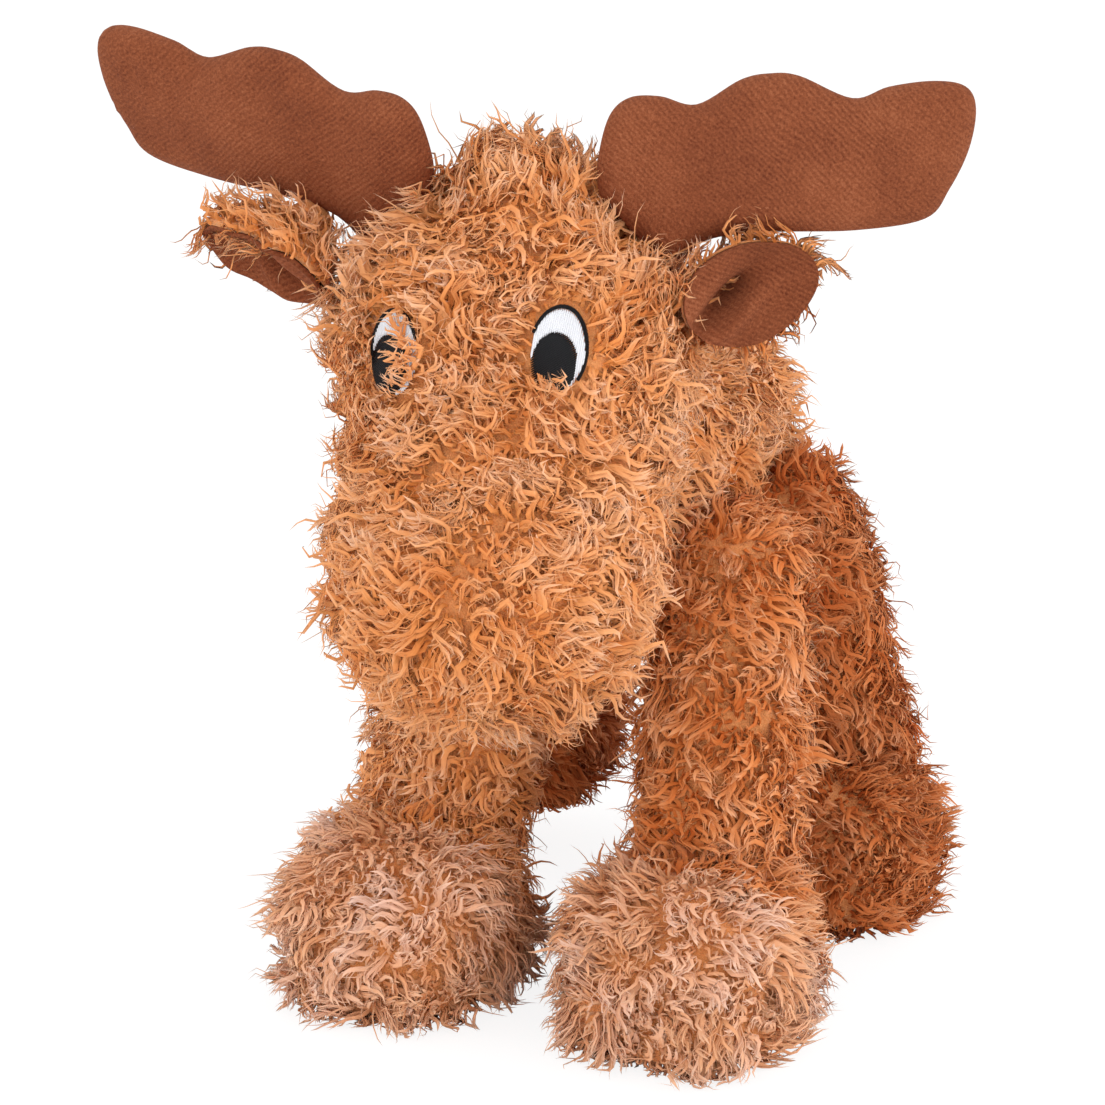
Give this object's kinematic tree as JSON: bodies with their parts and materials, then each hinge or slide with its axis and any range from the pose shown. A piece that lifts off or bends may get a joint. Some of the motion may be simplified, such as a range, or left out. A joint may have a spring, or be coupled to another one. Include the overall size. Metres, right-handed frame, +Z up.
{
  "type": "plush deer",
  "caption": "Shaggy brown stuffed moose that stands on splayed legs with one hind foot raised, with a long drooping muzzle, flat padded antlers, cupped ears, stitched eyes and big block feet.",
  "frame": {"origin": "middle of the bottom of the bounding box, on the level that the soles stand on", "axes": "+Z up, -Y the way the animal faces, +X the animal's own left"},
  "size_m": [0.231, 0.2616, 0.2795],
  "materials": {
    "pile": "matte",
    "foot_pile": "matte",
    "felt": "matte",
    "stuffing": "matte",
    "white_thread": "satin",
    "black_thread": "satin"
  },
  "bodies": {
    "torso": {"body_cover": "pile", "body_stuffing": "stuffing"},
    "head": {"head_cover": "pile", "head_stuffing": "stuffing", "left_eye_white": "white_thread", "left_eye_pupil": "black_thread", "left_eye_outline": "black_thread", "right_eye_white": "white_thread", "right_eye_pupil": "black_thread", "right_eye_outline": "black_thread"},
    "left_antler": {"left_antler_cover": "felt", "left_antler_padding": "stuffing"},
    "left_ear": {"left_ear_back": "pile", "left_ear_lining": "felt"},
    "right_antler": {"right_antler_cover": "felt", "right_antler_padding": "stuffing"},
    "right_ear": {"right_ear_back": "pile", "right_ear_lining": "felt"},
    "front_left_leg": {"front_left_leg_cover": "pile", "front_left_leg_stuffing": "stuffing", "front_left_foot_cover": "foot_pile", "front_left_foot_stuffing": "stuffing"},
    "front_right_leg": {"front_right_leg_cover": "pile", "front_right_leg_stuffing": "stuffing", "front_right_foot_cover": "foot_pile", "front_right_foot_stuffing": "stuffing"},
    "hind_left_leg": {"hind_left_leg_cover": "pile", "hind_left_leg_stuffing": "stuffing", "hind_left_foot_cover": "foot_pile", "hind_left_foot_stuffing": "stuffing"},
    "hind_right_leg": {"hind_right_leg_cover": "pile", "hind_right_leg_stuffing": "stuffing", "hind_right_foot_cover": "foot_pile", "hind_right_foot_stuffing": "stuffing"}
  },
  "joints": [
    {"name": "head_nod", "type": "hinge", "parent": "torso", "child": "head", "pos_m": [-0.00395, -0.0402, 0.166], "axis": [0.9877, 0.1564, 0], "range_deg": [-10, 20], "stiffness_Nm_per_rad": 0.6},
    {"name": "left_antler_flex", "type": "hinge", "parent": "head", "child": "left_antler", "pos_m": [0.03518, -0.06033, 0.2365], "axis": [0.6662, 0.2037, -0.7175], "range_deg": [-12, 12], "stiffness_Nm_per_rad": 0.04},
    {"name": "left_ear_flap", "type": "hinge", "parent": "head", "child": "left_ear", "pos_m": [0.05008, -0.0681, 0.2105], "axis": [-0.2835, -0.1913, 0.9397], "range_deg": [-15, 3], "stiffness_Nm_per_rad": 0.02},
    {"name": "right_antler_flex", "type": "hinge", "parent": "head", "child": "right_antler", "pos_m": [-0.03495, -0.07144, 0.2365], "axis": [-0.764, 0.2882, -0.5773], "range_deg": [0, 12], "stiffness_Nm_per_rad": 0.04},
    {"name": "right_ear_flap", "type": "hinge", "parent": "head", "child": "right_ear", "pos_m": [-0.04671, -0.08343, 0.2105], "axis": [0.4037, 0.0496, 0.9135], "range_deg": [-9, 15], "stiffness_Nm_per_rad": 0.02},
    {"name": "front_left_leg_swing", "type": "hinge", "parent": "torso", "child": "front_left_leg", "pos_m": [0.03305, 0.0038, 0.124], "axis": [1, 0, 0], "range_deg": [-20, 4], "stiffness_Nm_per_rad": 1},
    {"name": "front_right_leg_swing", "type": "hinge", "parent": "torso", "child": "front_right_leg", "pos_m": [-0.04095, 0.0038, 0.124], "axis": [1, 0, 0], "range_deg": [-20, 4], "stiffness_Nm_per_rad": 1},
    {"name": "hind_left_leg_swing", "type": "hinge", "parent": "torso", "child": "hind_left_leg", "pos_m": [0.03305, 0.0518, 0.124], "axis": [1, 0, 0], "range_deg": [-4, 20], "stiffness_Nm_per_rad": 1},
    {"name": "hind_right_leg_swing", "type": "hinge", "parent": "torso", "child": "hind_right_leg", "pos_m": [-0.04095, 0.0518, 0.124], "axis": [1, 0, 0], "range_deg": [-4, 20], "stiffness_Nm_per_rad": 1}
  ]
}
